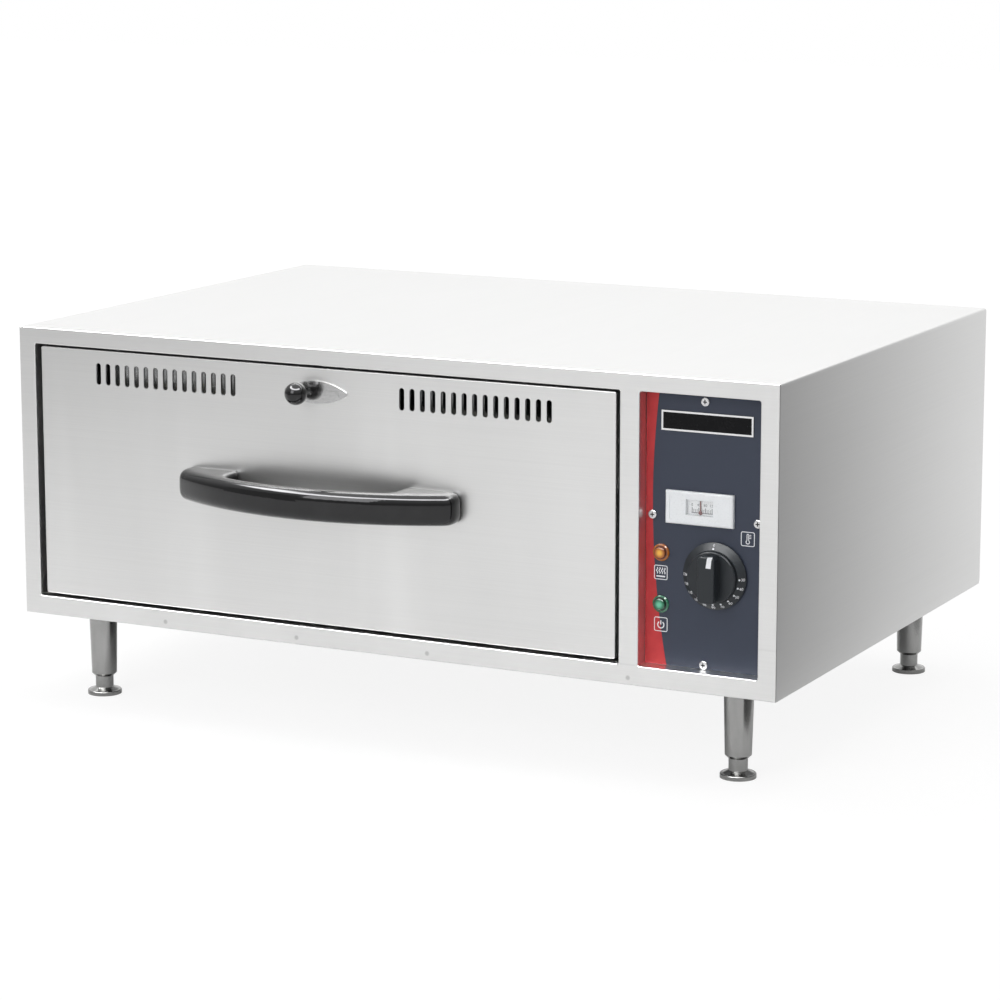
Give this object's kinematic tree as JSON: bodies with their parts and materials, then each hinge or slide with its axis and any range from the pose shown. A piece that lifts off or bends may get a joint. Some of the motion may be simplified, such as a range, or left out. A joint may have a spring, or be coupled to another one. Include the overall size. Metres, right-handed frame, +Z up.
{
  "type": "countertop warming drawer",
  "caption": "Free-standing heated drawer cabinet with a side control bay, vented drawer front, bow handle, roller slides and levelling legs.",
  "frame": {"origin": "on the floor, at the middle of the whole object's footprint, handle and cable gland included", "axes": "+X to the control bay's side, along the cabinet's width; +Y from the drawer front to the back; +Z up"},
  "size_m": [0.785, 0.612, 0.366],
  "materials": {
    "front_steel": "horizontal brushed stainless sheet",
    "wrap_steel": "satin stainless sheet",
    "bright_steel": "bright annealed stainless sheet",
    "leg_steel": "satin turned stainless tube",
    "zinc_steel": "zinc plated steel",
    "fastener": "polished fasteners",
    "polished_plate": "polished plate",
    "black_chrome": "black chrome plate",
    "overlay_film": "slate printed film",
    "nameplate": "black plate with a silver border",
    "bezel_white": "white moulded plastic",
    "dial_card": "printed card",
    "needle_red": "painted pointer",
    "window_clear": "clear plastic",
    "knob_black": "black moulded plastic",
    "control_case": "moulded control body",
    "amber_lens": "amber lens",
    "green_lens": "green lens",
    "copper_tube": "capillary tube",
    "element_sheath": "heat-tinted sheath",
    "mineral_wool": "mineral wool",
    "nylon": "nylon",
    "terminal": "glazed ceramic",
    "gland_black": "black nylon"
  },
  "bodies": {
    "cabinet": {"outer_wrap": "wrap_steel", "face_frame": "front_steel", "base_pan": "bright_steel", "rear_panel": "wrap_steel", "rear_panel_screws": "fastener", "cavity_liner": "bright_steel", "insulation_blanket": "mineral_wool", "insulation_base": "mineral_wool", "insulation_rear": "mineral_wool", "bay_wall": "zinc_steel", "rail_rivets": "zinc_steel", "heating_element": "element_sheath", "element_clips": "bright_steel", "control_panel": "zinc_steel", "panel_overlay": "overlay_film", "nameplate_blank": "nameplate", "panel_screws": "fastener", "thermometer_case": "bezel_white", "thermometer_dial": "dial_card", "thermometer_window": "window_clear", "thermometer_capillary": "copper_tube", "thermostat_body": "control_case", "thermostat_capillary": "copper_tube", "pilot_lamp_bodies": "control_case", "heat_lamp_lens": "amber_lens", "power_lamp_lens": "green_lens", "terminal_block": "terminal", "cable_gland": "gland_black", "leg_nuts": "zinc_steel", "leg_front_left": "leg_steel", "leg_front_right": "leg_steel", "leg_rear_left": "leg_steel", "leg_rear_right": "leg_steel", "slide_rail_left": "bright_steel", "slide_rail_right": "bright_steel"},
    "drawer": {"drawer_front_skin": "front_steel", "drawer_inner_plate": "bright_steel", "drawer_front_insulation": "mineral_wool", "vent_plate": "polished_plate", "shutter_guides": "bright_steel", "handle": "black_chrome", "handle_screws": "zinc_steel", "drawer_carrier": "bright_steel", "food_pan": "bright_steel", "slide_runner_left": "bright_steel", "slide_runner_right": "bright_steel"},
    "vent_slider": {"vent_shutter": "bright_steel", "vent_knob": "black_chrome"},
    "thermostat_dial": {"thermostat_knob": "knob_black", "thermostat_shaft": "zinc_steel"},
    "needle": {"thermometer_needle": "needle_red"},
    "rail_roller_left": {"rail_roller_left": "nylon"},
    "runner_roller_left": {"runner_roller_left": "nylon"},
    "rail_roller_right": {"rail_roller_right": "nylon"},
    "runner_roller_right": {"runner_roller_right": "nylon"},
    "foot_front_left": {"foot_front_left": "leg_steel"},
    "foot_front_right": {"foot_front_right": "leg_steel"},
    "foot_rear_left": {"foot_rear_left": "leg_steel"},
    "foot_rear_right": {"foot_rear_right": "leg_steel"}
  },
  "joints": [
    {"name": "drawer_slide", "type": "slide", "parent": "cabinet", "child": "drawer", "axis": [0, -1, 0], "range_m": [0, 0.35]},
    {"name": "vent_slide", "type": "slide", "parent": "drawer", "child": "vent_slider", "axis": [1, 0, 0], "range_m": [0, 0.00532]},
    {"name": "thermostat_turn", "type": "hinge", "parent": "cabinet", "child": "thermostat_dial", "pos_m": [0.3281, -0.24, 0.1898], "axis": [0, 1, 0], "range_deg": [0, 265]},
    {"name": "needle_swing", "type": "hinge", "parent": "cabinet", "child": "needle", "pos_m": [0.3132, -0.237, 0.2444], "axis": [0, 1, 0], "range_deg": [-35, 35]},
    {"name": "rail_roller_spin_left", "type": "hinge", "parent": "cabinet", "child": "rail_roller_left", "pos_m": [-0.3607, -0.205, 0.2695], "axis": [1, 0, 0], "range_deg": [0, 2006.4]},
    {"name": "runner_roller_spin_left", "type": "hinge", "parent": "drawer", "child": "runner_roller_left", "pos_m": [-0.3705, 0.189, 0.2695], "axis": [1, 0, 0], "range_deg": [0, 2006.4]},
    {"name": "rail_roller_spin_right", "type": "hinge", "parent": "cabinet", "child": "rail_roller_right", "pos_m": [0.2274, -0.205, 0.2695], "axis": [1, 0, 0], "range_deg": [0, 2006.4]},
    {"name": "runner_roller_spin_right", "type": "hinge", "parent": "drawer", "child": "runner_roller_right", "pos_m": [0.2372, 0.189, 0.2695], "axis": [1, 0, 0], "range_deg": [0, 2006.4]},
    {"name": "foot_screw_front_left", "type": "slide", "parent": "cabinet", "child": "foot_front_left", "axis": [0, 0, -1], "range_m": [0, 0.025]},
    {"name": "foot_screw_front_right", "type": "slide", "parent": "cabinet", "child": "foot_front_right", "axis": [0, 0, -1], "range_m": [0, 0.025]},
    {"name": "foot_screw_rear_left", "type": "slide", "parent": "cabinet", "child": "foot_rear_left", "axis": [0, 0, -1], "range_m": [0, 0.025]},
    {"name": "foot_screw_rear_right", "type": "slide", "parent": "cabinet", "child": "foot_rear_right", "axis": [0, 0, -1], "range_m": [0, 0.025]}
  ],
  "couplings": [
    {"joint": "rail_roller_spin_left", "follows": "drawer_slide", "rad_per_m": 100},
    {"joint": "runner_roller_spin_left", "follows": "drawer_slide", "rad_per_m": 100},
    {"joint": "rail_roller_spin_right", "follows": "drawer_slide", "rad_per_m": 100},
    {"joint": "runner_roller_spin_right", "follows": "drawer_slide", "rad_per_m": 100}
  ]
}
